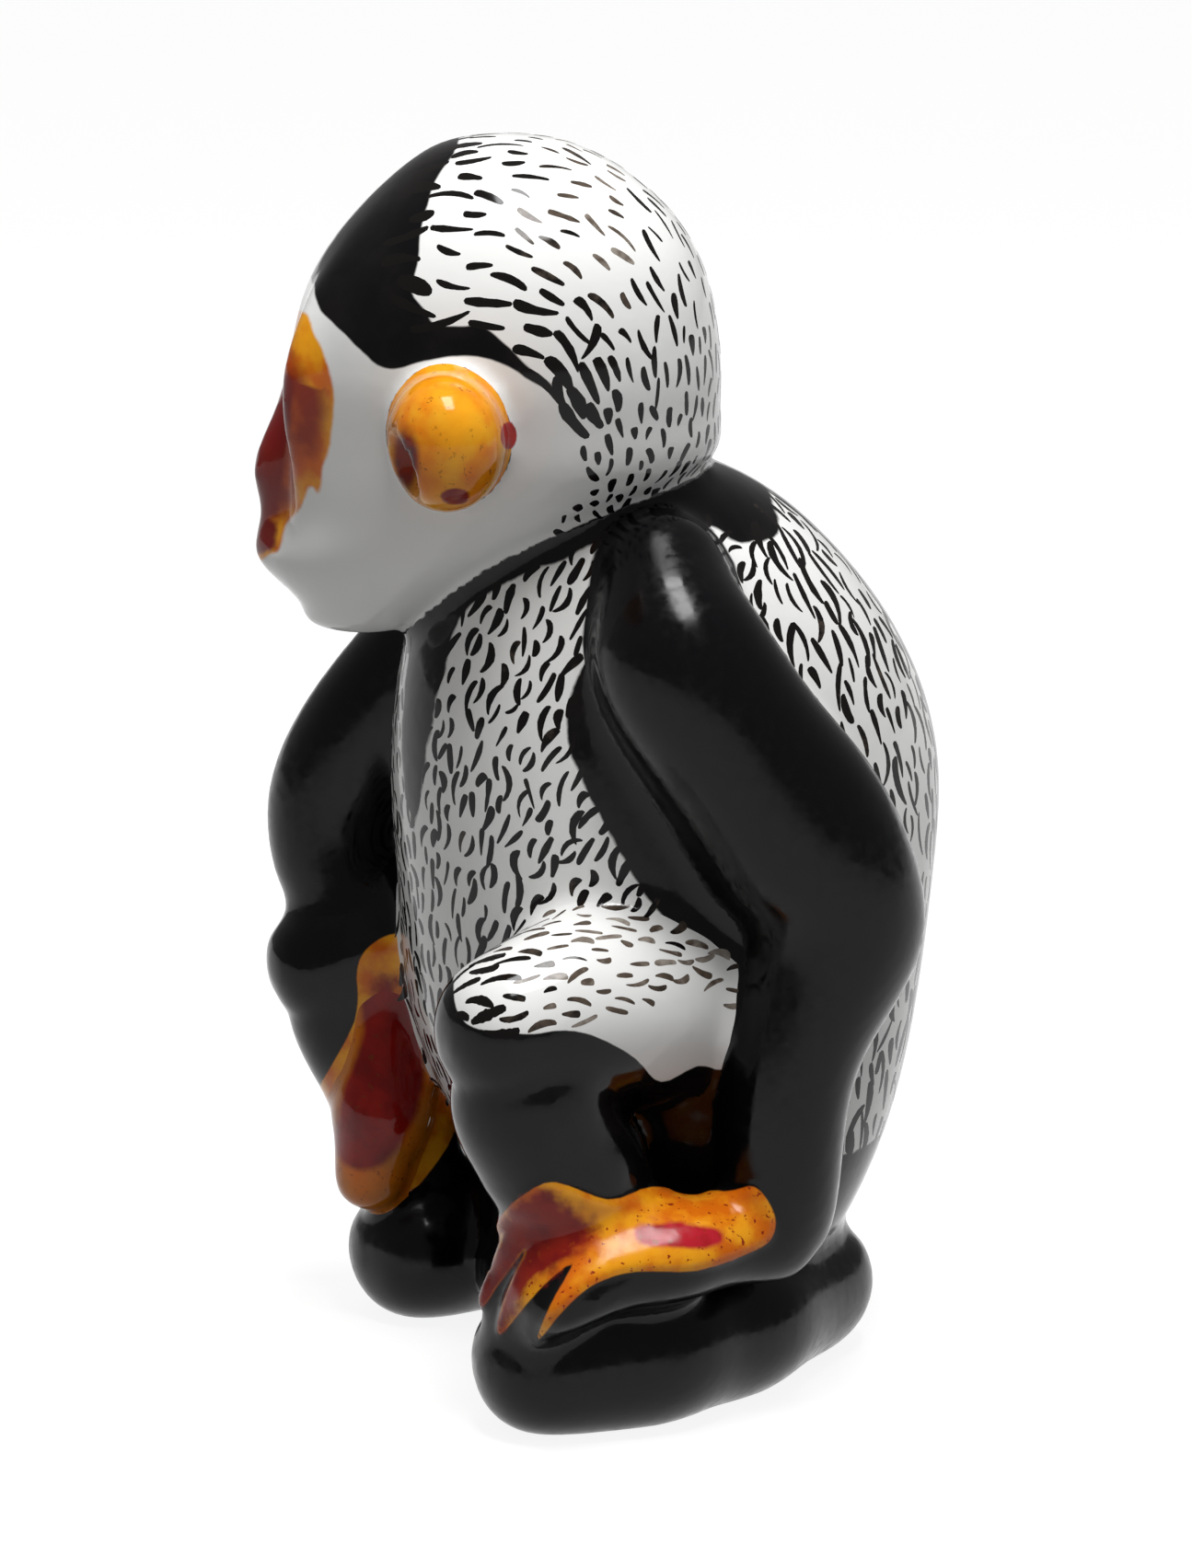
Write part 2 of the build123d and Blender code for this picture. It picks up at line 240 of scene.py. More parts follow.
# Each point belongs to the casting that it lies on, and the joints between castings are rounded
nearest = [whole_tree.find_nearest(Vector(point))[2] for point in surface]
belongs = np.eye(len(node_names))[owners[nearest]]
for _ in range(OWNER_ROUNDS):
    belongs = 0.5 * belongs + 0.5 * spread(belongs)
label = belongs.argmax(1)
joint = label[edges[:, 0]] != label[edges[:, 1]]
ring = np.full(point_count, float(LUTING_RINGS))
ring[edges[joint].ravel()] = 0
for _ in range(LUTING_RINGS):
    np.minimum.at(ring, edges[:, 0], ring[edges[:, 1]] + 1)
    np.minimum.at(ring, edges[:, 1], ring[edges[:, 0]] + 1)
strength = belongs @ np.array([LUTING_STRENGTH.get(name, 1.0) for name in node_names])
luting = np.clip(1 - ring / LUTING_RINGS, 0, 1) * strength
for _ in range(LUTING_BLEND_ROUNDS):
    luting = spread(luting[:, None])[:, 0]
melting = belongs[:, [node_names.index("left_hand")]]
for _ in range(MELTING_BLEND_ROUNDS):
    melting = spread(melting)
melting = np.clip(2 * melting, 0, 1)
for _ in range(SOFTENING_ROUNDS):
    surface += EASE * (spread(surface) - surface)
for _ in range(LUTING_ROUNDS):
    surface += LUTING_EASE * luting[:, None] * (spread(surface) - surface)
for _ in range(MELTING_ROUNDS):
    surface += LUTING_EASE * melting * (spread(surface) - surface)

# The fingers stand a little proud where they are painted
facing = normals()
finger_rise = np.clip(left_hand_depth(surface / MM, facing) / RELIEF_EDGE + RELIEF_AT_EDGE, 0, 1)
surface += FINGER_RELIEF * finger_rise[:, None] * facing
surface += EASE * (spread(surface) - surface)

# The seam lines between castings run smooth
votes = np.zeros((len(quads), len(node_names)))
for corner in range(4):
    votes[np.arange(len(quads)), label[quads[:, corner]]] += 1
quad_label = votes.argmax(1)
sides_of_quads = np.sort(np.stack([quads, np.roll(quads, -1, 1)], 2).reshape(-1, 2), 1)
order = np.lexsort(sides_of_quads.T)
sorted_sides = sides_of_quads[order]
sorted_labels = np.repeat(quad_label, 4)[order]
shared = (sorted_sides[1:] == sorted_sides[:-1]).all(1) & (sorted_labels[1:] != sorted_labels[:-1])
seams = sorted_sides[1:][shared]
seam_ends = np.bincount(seams.ravel(), minlength=point_count)
facing = normals()
beside_seam = np.zeros(point_count, bool)
beside_seam[seams.ravel()] = True
for _ in range(SEAM_BORDER):
    beside_seam[edges[beside_seam[edges].any(1)].ravel()] = True
for _ in range(SEAM_ROUNDS):
    eased = spread(surface)
    for column in range(3):
        total = np.bincount(seams[:, 0], surface[seams[:, 1], column], point_count)
        total += np.bincount(seams[:, 1], surface[seams[:, 0], column], point_count)
        eased[:, column] = np.where(seam_ends > 0, total / np.maximum(seam_ends, 1), eased[:, column])
    shift = np.where((beside_seam & (seam_ends < 3))[:, None], eased - surface, 0)
    surface += EASE * (shift - (shift * facing).sum(1)[:, None] * facing)
surface = np.clip(surface, np.array(cad_box[0]), np.array(cad_box[1]))
facing = normals()
skin_tree = BVHTree.FromPolygons(surface.tolist(), quads.tolist())


def rims(own):
    """The closed loops of points round the open edges of a set of quads."""
    ends = np.stack([own, np.roll(own, -1, 1)], 2).reshape(-1, 2)
    forward = ends[:, 0] * point_count + ends[:, 1]
    open_ends = ends[~np.isin(forward, ends[:, 1] * point_count + ends[:, 0])]
    following = {}
    for start, end in open_ends.tolist():
        following.setdefault(start, []).append(end)
    loops = []
    while following:
        loop = [next(iter(following))]
        while loop[-1] in following:
            end = following[loop[-1]].pop()
            if not following[loop[-1]]:
                del following[loop[-1]]
            loop.append(end)
        loops.append(loop[:-1])
    return loops


def hub_inside(lining):
    """A point in the clay that sees as much of a wall's inner edge as it can, so that the wall is hidden."""
    dice = np.random.default_rng(len(lining))
    low = lining.min(0) - HUB_REACH
    high = lining.max(0) + HUB_REACH
    best, fewest = lining.mean(0), len(lining) + 1
    for place in np.vstack([best, dice.uniform(low, high, (HUB_TRIES, 3))]):
        touch, outward, _, _ = skin_tree.find_nearest(Vector(place))
        if fewest and (touch - Vector(place)).dot(outward) > 0:
            rays = lining - place
            hits = [skin_tree.ray_cast(Vector(place), Vector(ray), np.linalg.norm(ray))[0] for ray in rays]
            blocked = len(hits) - hits.count(None)
            if blocked < fewest:
                best, fewest = place, blocked
    return best


def casting(name, material, slot, **paint):
    """One casting's closed mesh, cut from the joined surface at its luted joints, with its paint fields."""
    own = quads[quad_label == node_names.index(name)]
    used = np.unique(own)
    halves = np.searchsorted(used, own)[:, [0, 1, 2, 0, 2, 3]].reshape(-1, 3).tolist()
    points = surface[used].tolist()
    origins = used.tolist()
    walls = []
    for loop in rims(own):
        lining = surface[loop] - WALL_DEPTH * facing[loop]
        outer = np.searchsorted(used, loop)
        inner = len(points) + np.arange(len(loop))
        hub = np.full(len(loop), len(points) + len(loop))
        next_outer = np.roll(outer, -1)
        next_inner = np.roll(inner, -1)
        walls += np.stack([next_outer, outer, inner], 1).tolist()
        walls += np.stack([next_outer, inner, next_inner], 1).tolist()
        walls += np.stack([next_inner, inner, hub], 1).tolist()
        points += [*lining.tolist(), hub_inside(lining).tolist()]
        origins += [*loop, loop[0]]
    mesh = bpy.data.meshes.new(name + "_glazed")
    mesh.from_pydata(points, [], halves + walls)
    for key, values in paint.items():
        field = values[origins].astype(np.float32)
        mesh.attributes.new(key, "FLOAT", "POINT").data.foreach_set("value", field)
    mesh.polygons.foreach_set("use_smooth", np.ones(len(mesh.polygons), bool))
    shading = np.empty((len(mesh.loops), 3), np.float32)
    shading[:3 * len(halves)] = facing[used[np.ravel(halves)]]
    for face in mesh.polygons[len(halves):]:
        shading[list(face.loop_indices)] = face.normal
    mesh.normals_split_custom_set(shading.tolist())
    mesh.materials.append(material)
    piece = bpy.data.objects.new(name + "_glazed", mesh)
    bpy.context.scene.collection.objects.link(piece)
    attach(piece, "root")
    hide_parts(name)


# Head: a hollow casting turned to the figure's right, with a low-relief face. The glaze is clear over
# white clay, and a black cap, a red and orange face and fine fur strokes are painted under it by brush.
def srgb(red, green, blue):
    """A colour as seen on screen, 0 to 255, in linear light."""
    shares = [c / 255 for c in (red, green, blue)]
    return tuple(((c + 0.055) / 1.055) ** 2.4 if c > 0.04 else c / 12.92 for c in shares)


HEAD_TURN = math.radians(28)
NECK_AXIS = np.array([-1.267, -5.65])
WHITE = srgb(243, 243, 241)
BLACK = srgb(9, 9, 11)
BROWN_BLACK = srgb(20, 17, 17)
ORANGE = srgb(244, 164, 28)
DEEP_ORANGE = srgb(218, 108, 16)
RED_BROWN = srgb(146, 46, 20)
DARK_RED = srgb(126, 22, 20)
BRIGHT_RED = srgb(176, 30, 20)
NECK_EDGE = 0.45
BROW_LINE = 420
BROW_INSET = 1.3
CHEEK_INSET = 0.8
EAR_DOT_PLACE = np.array([552, 474])
EAR_DOT_SIZE = np.array([9, 15])
EAR_FOOT_PLACE = np.array([494, 540])
EAR_FOOT_SIZE = np.array([16, 9])
CAP_OUTLINE = (
    (495, 120), (400, 120), (300, 230), (318, 290), (336, 297), (342, 321), (351, 342), (377, 366),
    (396, 384), (410, 397), (429, 401), (462, 393), (496, 388), (525, 389), (551, 399), (577, 416),
    (595, 425), (612, 442), (598, 418), (573, 399), (551, 377), (521, 356), (473, 353), (462, 338),
    (447, 318), (453, 288), (457, 251), (466, 214), (477, 188), (496, 160),
)
FACE_OUTLINE = (
    (250, 330), (325, 338), (342, 367), (354, 391), (362, 420), (363, 440), (361, 465), (356, 493),
    (350, 512), (347, 538), (336, 530), (327, 551), (311, 571), (304, 593), (292, 603), (240, 603),
)
NOSE_OUTLINE = (
    (250, 405), (314, 408), (318, 432), (313, 483), (308, 514), (303, 545), (296, 562), (250, 562),
)
LIP_OUTLINE = ((250, 563), (297, 565), (300, 585), (292, 599), (250, 599))
FUR_OUTLINE = (
    (470, 120), (452, 200), (440, 251), (436, 290), (434, 318), (452, 352), (521, 362), (565, 394),
    (606, 436), (616, 470), (624, 503), (644, 528), (606, 573), (640, 590), (720, 560), (800, 500),
    (820, 300), (760, 150), (620, 110),
)


def spot(places, centre, half_sizes):
    """Depth inside an oval spot, in millimetres."""
    reach = np.linalg.norm((places - centre) / half_sizes, axis=1)
    return (1 - reach) * min(half_sizes) / PHOTO_SCALE


def painted_glaze(name, ground, layers, gloss=0.11, specks=None):
    """Brush-painted colours under a clear gloss glaze. Each layer is an attribute's depth in its outline,
    two colours that drift into each other, how far its edge wanders, how soft it is and the drift's size."""
    material = bpy.data.materials.new(name)
    material.use_nodes = True
    nodes = material.node_tree.nodes
    links = material.node_tree.links
    shader = nodes["Principled BSDF"]
    shader.inputs["IOR"].default_value = 1.28
    place = nodes.new("ShaderNodeTexCoord").outputs["Object"]

    def cloud(scale, detail):
        noise = nodes.new("ShaderNodeTexNoise")
        noise.inputs["Scale"].default_value = scale
        noise.inputs["Detail"].default_value = detail
        links.new(place, noise.inputs["Vector"])
        return noise.outputs["Fac"]

    def mixed(share, below, above):
        mix = nodes.new("ShaderNodeMix")
        mix.data_type = "RGBA"
        links.new(share, mix.inputs["Factor"])
        for colour, socket in ((below, mix.inputs["A"]), (above, mix.inputs["B"])):
            if isinstance(colour, tuple):
                socket.default_value = (*colour, 1)
            else:
                links.new(colour, socket)
        return mix.outputs["Result"]

    def ramped(value, low, high):
        span = nodes.new("ShaderNodeMapRange")
        span.interpolation_type = "SMOOTHSTEP"
        span.inputs["From Min"].default_value = low
        span.inputs["From Max"].default_value = high
        links.new(value, span.inputs["Value"])
        return span.outputs["Result"]

    sheen = nodes.new("ShaderNodeMapRange")
    sheen.inputs["From Min"].default_value = 0.35
    sheen.inputs["From Max"].default_value = 0.65
    sheen.inputs["To Min"].default_value = 0.6 * gloss
    sheen.inputs["To Max"].default_value = 1.4 * gloss
    links.new(cloud(1100, 3), sheen.inputs["Value"])
    links.new(sheen.outputs["Result"], shader.inputs["Roughness"])
    colour = mixed(ramped(cloud(90, 2), 0.3, 0.7), ground, tuple(0.97 * c for c in ground))
    painted = None
    for key, first, second, wander, soft, size in layers:
        field = nodes.new("ShaderNodeAttribute")
        field.attribute_name = key
        edge = nodes.new("ShaderNodeMath")
        edge.operation = "MULTIPLY_ADD"
        links.new(cloud(900 / size, 3), edge.inputs[0])
        edge.inputs[1].default_value = 2 * wander
        links.new(field.outputs["Fac"], edge.inputs[2])
        mask = ramped(edge.outputs[0], wander - soft, wander + soft)
        painted = painted or mask
        drift = ramped(cloud(700 / size, 4), 0.38, 0.64)
        colour = mixed(mask, colour, mixed(drift, first, second))
    if specks:
        dots = nodes.new("ShaderNodeMath")
        dots.operation = "MULTIPLY"
        links.new(ramped(cloud(2100, 2), 0.63, 0.70), dots.inputs[0])
        links.new(painted, dots.inputs[1])
        colour = mixed(dots.outputs[0], colour, specks)
    links.new(colour, shader.inputs["Base Color"])
    swell = nodes.new("ShaderNodeBump")
    swell.inputs["Strength"].default_value = 0.25
    swell.inputs["Distance"].default_value = 0.12 * MM
    links.new(cloud(420, 2), swell.inputs["Height"])
    links.new(swell.outputs["Normal"], shader.inputs["Normal"])
    return material


mm = surface / MM
near_head = mm[:, :2] - NECK_AXIS
across_head = near_head @ np.array([math.cos(HEAD_TURN), -math.sin(HEAD_TURN)])
folded = mm.copy()
fold = np.minimum(across_head, 0) * -2
folded[:, 0] += fold * math.cos(HEAD_TURN)
folded[:, 1] -= fold * math.sin(HEAD_TURN)
head_view = flat_view(folded)
cap = depth_in(head_view, CAP_OUTLINE)
face = depth_in(head_view, FACE_OUTLINE)
nose = depth_in(head_view, NOSE_OUTLINE)
lip = depth_in(head_view, LIP_OUTLINE)
ear_dot = spot(head_view, EAR_DOT_PLACE, EAR_DOT_SIZE)
ear_foot = spot(head_view, EAR_FOOT_PLACE, EAR_FOOT_SIZE)
head_share = belongs[:, node_names.index("head")]
neck_line = belongs[:, node_names.index("torso")] - head_share + NECK_EDGE
head_glaze = painted_glaze(
    "head_glaze", WHITE,
    [
        ("neck_line", BLACK, BROWN_BLACK, 0.2, 0.15, 2.0),
        ("face", ORANGE, DEEP_ORANGE, 0.25, 0.18, 2.0),
        ("cheek", srgb(206, 92, 18), RED_BROWN, 0.7, 0.8, 3.0),
        ("nose", DARK_RED, srgb(128, 30, 18), 0.35, 0.35, 3.0),
        ("lip", srgb(120, 30, 18), DARK_RED, 0.3, 0.25, 1.5),
        ("ear_dot", BRIGHT_RED, srgb(150, 22, 18), 0.05, 0.06, 1.0),
        ("ear_foot", RED_BROWN, DARK_RED, 0.1, 0.08, 1.0),
        ("cap", BLACK, BROWN_BLACK, 0.22, 0.10, 3.0),
    ],
)
casting(
    "head", head_glaze, "white_glaze", cap=cap, face=face,
    cheek=face - BROW_INSET * (head_view[:, 1] < BROW_LINE) - CHEEK_INSET, nose=nose, lip=lip,
    ear_dot=ear_dot, ear_foot=ear_foot, neck_line=neck_line,
)

# Fur strokes of the head: single touches of a small pointed brush in brown-black colour, thinned with water
# towards the back of the skull. They stand a hair proud under the glaze and follow the lie of the fur.
STROKE_LIFT = 0.026 * MM
STROKE_BASE = 0.15 * STROKE_LIFT
STROKE_RAGGEDNESS = 1.1 * MM
STROKE_CELL = 4 * MM
STROKE_SIDES = 6
STROKE_RINGS = 8
SKULL_ACROSS = (470, 760)
SKULL_DOWN = (180, 430)
NECK_DOWN = (400, 500)
LOW_BACK_DOWN = (300, 390)
LOW_BACK_ACROSS = (560, 620)
THINNING = (1.0, 5.0)
FADING = (3.0, 9.0)
FADING_UP = (440, 310)


def stroke_tree():
    """One drop-shaped touch of the brush at every point, laid on the surface along the point's direction."""
    tree = bpy.data.node_groups.new("brush_strokes", "GeometryNodeTree")
    for label_text, kind in (
        ("Geometry", "NodeSocketGeometry"), ("Surface", "NodeSocketObject"),
        ("Length Spread", "NodeSocketFloat"), ("Width Spread", "NodeSocketFloat"),
        ("Bend", "NodeSocketFloat"), ("Lift", "NodeSocketFloat"),
        ("Seed", "NodeSocketInt"), ("Colour", "NodeSocketMaterial"),
    ):
        tree.interface.new_socket(label_text, in_out="INPUT", socket_type=kind)
    tree.interface.new_socket("Geometry", in_out="OUTPUT", socket_type="NodeSocketGeometry")
    nodes = tree.nodes
    given = nodes.new("NodeGroupInput").outputs

    def join(source, target):
        tree.links.new(source, target)

    def maths(operation, *values):
        node = nodes.new("ShaderNodeMath")
        node.operation = operation
        for value, socket in zip(values, node.inputs):
            if isinstance(value, (int, float)):
                socket.default_value = value
            else:
                join(value, socket)
        return node.outputs[0]

    def vectors(operation, *values):
        node = nodes.new("ShaderNodeVectorMath")
        node.operation = operation
        sockets = [node.inputs[0], node.inputs["Scale"]] if operation == "SCALE" else node.inputs
        for value, socket in zip(values, sockets):
            join(value, socket)
        return node.outputs["Vector"]

    def read(name, kind="FLOAT"):
        node = nodes.new("GeometryNodeInputNamedAttribute")
        node.data_type = kind
        node.inputs["Name"].default_value = name
        return node.outputs["Attribute"]

    def keep(geometry, name, value, kind="FLOAT"):
        node = nodes.new("GeometryNodeStoreNamedAttribute")
        node.data_type = kind
        node.domain = "POINT"
        node.inputs["Name"].default_value = name
        join(geometry, node.inputs["Geometry"])
        join(value, node.inputs["Value"])
        return node.outputs["Geometry"]

    def chance(low, high, salt):
        node = nodes.new("FunctionNodeRandomValue")
        node.data_type = "FLOAT"
        sockets = [s for s in node.inputs if s.type == "VALUE"]
        for value, socket in zip((low, high), sockets):
            if isinstance(value, (int, float)):
                socket.default_value = value
            else:
                join(value, socket)
        join(maths("ADD", given["Seed"], salt), node.inputs["Seed"])
        return [s for s in node.outputs if s.type == "VALUE"][0]

    drop = nodes.new("GeometryNodeMeshUVSphere")
    drop.inputs["Segments"].default_value = STROKE_SIDES
    drop.inputs["Rings"].default_value = STROKE_RINGS
    drop.inputs["Radius"].default_value = 1.0
    apart = nodes.new("ShaderNodeSeparateXYZ")
    join(nodes.new("GeometryNodeInputPosition").outputs[0], apart.inputs[0])
    run_squared = maths("MULTIPLY", apart.outputs["Z"], apart.outputs["Z"])
    girth = maths("MAXIMUM", maths("SUBTRACT", 1.0, run_squared), 0.04)
    taper = maths("MULTIPLY_ADD", apart.outputs["Z"], -0.26, 0.86)
    taper = maths("MULTIPLY", taper, maths("POWER", girth, -0.22))
    shape = keep(drop.outputs["Mesh"], "run", maths("MULTIPLY", apart.outputs["Z"], 0.5))
    shape = keep(shape, "side", maths("MULTIPLY", maths("MULTIPLY", apart.outputs["X"], 0.5), taper))
    shape = keep(shape, "rise", apart.outputs["Y"])
    place = nodes.new("GeometryNodeInputPosition").outputs[0]
    points = keep(given["Geometry"], "centre", place, "FLOAT_VECTOR")
    shortest = maths("SUBTRACT", 1.0, given["Length Spread"])
    longer = chance(shortest, maths("ADD", 1.0, given["Length Spread"]), 1)
    narrowest = maths("SUBTRACT", 1.0, given["Width Spread"])
    wider = chance(narrowest, maths("ADD", 1.0, given["Width Spread"]), 2)
    points = keep(points, "length", maths("MULTIPLY", read("length"), longer))
    points = keep(points, "width", maths("MULTIPLY", read("width"), wider))
    points = keep(points, "bend", chance(maths("MULTIPLY", given["Bend"], -1.0), given["Bend"], 3))
    points = keep(points, "lean", chance(-0.5, 0.7, 4))
    copies = nodes.new("GeometryNodeInstanceOnPoints")
    join(points, copies.inputs["Points"])
    join(shape, copies.inputs["Instance"])
    realize = nodes.new("GeometryNodeRealizeInstances")
    join(copies.outputs["Instances"], realize.inputs["Geometry"])
    along = read("along", "FLOAT_VECTOR")
    beside = vectors("CROSS_PRODUCT", read("facing", "FLOAT_VECTOR"), along)
    travel = maths("MULTIPLY", read("run"), read("length"))
    bow = maths("MULTIPLY", maths("MULTIPLY", read("run"), travel), maths("MULTIPLY", read("bend"), 4.0))
    ragged = nodes.new("ShaderNodeTexNoise")
    ragged.inputs["Scale"].default_value = 1.0 / STROKE_RAGGEDNESS
    on_path = vectors("ADD", read("centre", "FLOAT_VECTOR"), vectors("SCALE", along, travel))
    join(on_path, ragged.inputs["Vector"])
    swelling = maths("MULTIPLY_ADD", ragged.outputs["Fac"], 1.1, 0.45)
    swelling = maths("MULTIPLY", swelling, maths("MULTIPLY_ADD", read("run"), read("lean"), 1.0))
    half_width = maths("MULTIPLY", maths("MULTIPLY", read("side"), read("width")), swelling)
    sideways = maths("ADD", half_width, bow)
    laid = vectors("ADD", on_path, vectors("SCALE", beside, sideways))
    ground = nodes.new("GeometryNodeObjectInfo")
    join(given["Surface"], ground.inputs["Object"])
    touch = nodes.new("GeometryNodeProximity")
    touch.target_element = "FACES"
    join(ground.outputs["Geometry"], touch.inputs[0])
    join(laid, touch.inputs["Sample Position"])
    slope = nodes.new("GeometryNodeSampleNearestSurface")
    slope.data_type = "FLOAT_VECTOR"
    join(ground.outputs["Geometry"], slope.inputs["Mesh"])
    join(nodes.new("GeometryNodeInputNormal").outputs[0], slope.inputs["Value"])
    join(laid, slope.inputs["Sample Position"])
    height = maths("MULTIPLY_ADD", read("rise"), given["Lift"], STROKE_BASE)
    raised = vectors("SCALE", slope.outputs["Value"], height)
    settle = nodes.new("GeometryNodeSetPosition")
    join(realize.outputs["Geometry"], settle.inputs["Geometry"])
    join(vectors("ADD", touch.outputs["Position"], raised), settle.inputs["Position"])
    under = keep(settle.outputs["Geometry"], "under", slope.outputs["Value"], "FLOAT_VECTOR")
    finish = nodes.new("GeometryNodeSetMaterial")
    join(under, finish.inputs["Geometry"])
    join(given["Colour"], finish.inputs["Material"])
    join(finish.outputs["Geometry"], nodes.new("NodeGroupOutput").inputs["Geometry"])
    return tree


def brush_colour():
    """Brown-black underglaze colour, paler where the brush held more water."""
    material = bpy.data.materials.new("brush_colour")
    material.use_nodes = True
    nodes = material.node_tree.nodes
    links = material.node_tree.links
    shader = nodes["Principled BSDF"]
    shader.inputs["Roughness"].default_value = 0.09
    shader.inputs["IOR"].default_value = 1.28
    load = nodes.new("ShaderNodeAttribute")
    load.attribute_name = "ink"
    noise = nodes.new("ShaderNodeTexNoise")
    noise.inputs["Scale"].default_value = 1300
    noise.inputs["Detail"].default_value = 3
    links.new(nodes.new("ShaderNodeTexCoord").outputs["Object"], noise.inputs["Vector"])
    wet = nodes.new("ShaderNodeMath")
    wet.operation = "MULTIPLY_ADD"
    links.new(noise.outputs["Fac"], wet.inputs[0])
    wet.inputs[1].default_value = 0.5
    links.new(load.outputs["Fac"], wet.inputs[2])
    ramp = nodes.new("ShaderNodeValToRGB")
    ramp.color_ramp.elements[0].position = 0.30
    ramp.color_ramp.elements[0].color = (*srgb(178, 170, 160), 1)
    ramp.color_ramp.elements[1].position = 1.15 / 1.3
    ramp.color_ramp.elements[1].color = (*srgb(20, 17, 16), 1)
    middle = ramp.color_ramp.elements.new(0.6)
    middle.color = (*srgb(92, 80, 70), 1)
    links.new(wet.outputs[0], ramp.inputs["Fac"])
    links.new(ramp.outputs["Color"], shader.inputs["Base Color"])
    return material


strokes_tree = stroke_tree()
fur_colour = brush_colour()


def fur(name, on, tries, seed, cover, length, width, ink, along, gap, bend):
    """A casting's brush strokes, kept apart along and across the brush's travel."""
    own = quads[quad_label == node_names.index(on)]
    corners = surface[own]
    size = np.linalg.norm(np.cross(corners[:, 2] - corners[:, 0], corners[:, 3] - corners[:, 1]), axis=1)
    weight = size * cover[own].mean(1)
    dice = np.random.default_rng(seed)
    chosen = own[dice.choice(len(own), size=tries, p=weight / weight.sum())]
    shares = dice.dirichlet((1, 1, 1, 1), tries)
    places = (surface[chosen] * shares[:, :, None]).sum(1)
    facings = facing[chosen].mean(1)
    facings /= np.linalg.norm(facings, axis=1)[:, None]
    heading = along[chosen].mean(1) + dice.normal(0, 0.2, (tries, 3))
    heading -= (heading * facings).sum(1)[:, None] * facings
    heading /= np.linalg.norm(heading, axis=1)[:, None] + 1e-9
    beside = np.cross(facings, heading)
    lengths = length[chosen].mean(1) * MM
    widths = width[chosen].mean(1) * MM
    gaps = gap[chosen].mean(1)
    cells = np.floor(places / STROKE_CELL).astype(int)
    grid = {}
    kept = []
    for k in range(tries):
        x, y, z = cells[k]
        near = [
            other for i in (-1, 0, 1) for j in (-1, 0, 1) for m in (-1, 0, 1)
            for other in grid.get((x + i, y + j, z + m), ())
        ]
        if near:
            away = places[near] - places[k]
            run = (away @ heading[k]) / (0.5 * gaps[k] * (lengths[k] + lengths[near]))
            side = (away @ beside[k]) / (0.75 * gaps[k] * (widths[k] + widths[near]))
            through = (away @ facings[k]) / MM
            if (run * run + side * side + through * through < 1).any():
                continue
        kept.append(k)
        grid.setdefault((x, y, z), []).append(k)
    mesh = bpy.data.meshes.new(name)
    mesh.from_pydata(places[kept].tolist(), [], [])
    inks = np.clip(ink[chosen].mean(1) + dice.normal(0, 0.10, tries), 0, 1)
    for key, values in (("length", lengths), ("width", widths), ("ink", inks)):
        mesh.attributes.new(key, "FLOAT", "POINT").data.foreach_set("value", values[kept].astype(np.float32))
    for key, values in (("along", heading), ("facing", facings)):
        chosen_values = values[kept].astype(np.float32).ravel()
        mesh.attributes.new(key, "FLOAT_VECTOR", "POINT").data.foreach_set("vector", chosen_values)
    piece = bpy.data.objects.new(name, mesh)
    bpy.context.scene.collection.objects.link(piece)
    skin = bpy.data.meshes.new("joined_skin")
    skin.from_pydata(surface.tolist(), [], quads.tolist())
    skin.normals_split_custom_set_from_vertices(facing.tolist())
    bed = bpy.data.objects.new("joined_skin", skin)
    bpy.context.scene.collection.objects.link(bed)
    brush = piece.modifiers.new("brush", "NODES")
    brush.node_group = strokes_tree
    wanted = {
        "Surface": bed, "Length Spread": 0.4, "Width Spread": 0.35, "Bend": bend,
        "Lift": STROKE_LIFT, "Seed": seed, "Colour": fur_colour,
    }
    for socket in strokes_tree.interface.items_tree:
        if socket.in_out == "INPUT" and socket.name in wanted:
            brush[socket.identifier] = wanted[socket.name]
    laid = bpy.data.meshes.new_from_object(piece.evaluated_get(bpy.context.evaluated_depsgraph_get()))
    piece.modifiers.remove(brush)
    piece.data = laid
    bpy.data.objects.remove(bed)
    bpy.data.meshes.remove(skin)
    under = np.empty(len(laid.vertices) * 3, np.float32)
    laid.attributes["under"].data.foreach_get("vector", under)
    laid.polygons.foreach_set("use_smooth", np.ones(len(laid.polygons), bool))
    laid.normals_split_custom_set_from_vertices(under.reshape(-1, 3).tolist())
    for key in (
        "run", "side", "rise", "centre", "length", "width", "bend", "lean", "along", "facing", "under",
    ):
        laid.attributes.remove(laid.attributes[key])
    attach(piece, "root")


def part_way(values, start, end):
    """How far values have gone from a start to an end, from 0 to 1."""
    return np.clip((values - start) / (end - start), 0, 1)


def lie(right, up):
    """A direction on the surface that looks so in the picture."""
    return right[:, None] * to_right + up[:, None] * to_top


def unfolded(headings, fold_sides, axis_across):
    """Directions found on the near side, reflected for points on the far side."""
    far = (fold_sides < 0)[:, None]
    return np.where(far, headings - 2 * (headings @ axis_across)[:, None] * axis_across, headings)


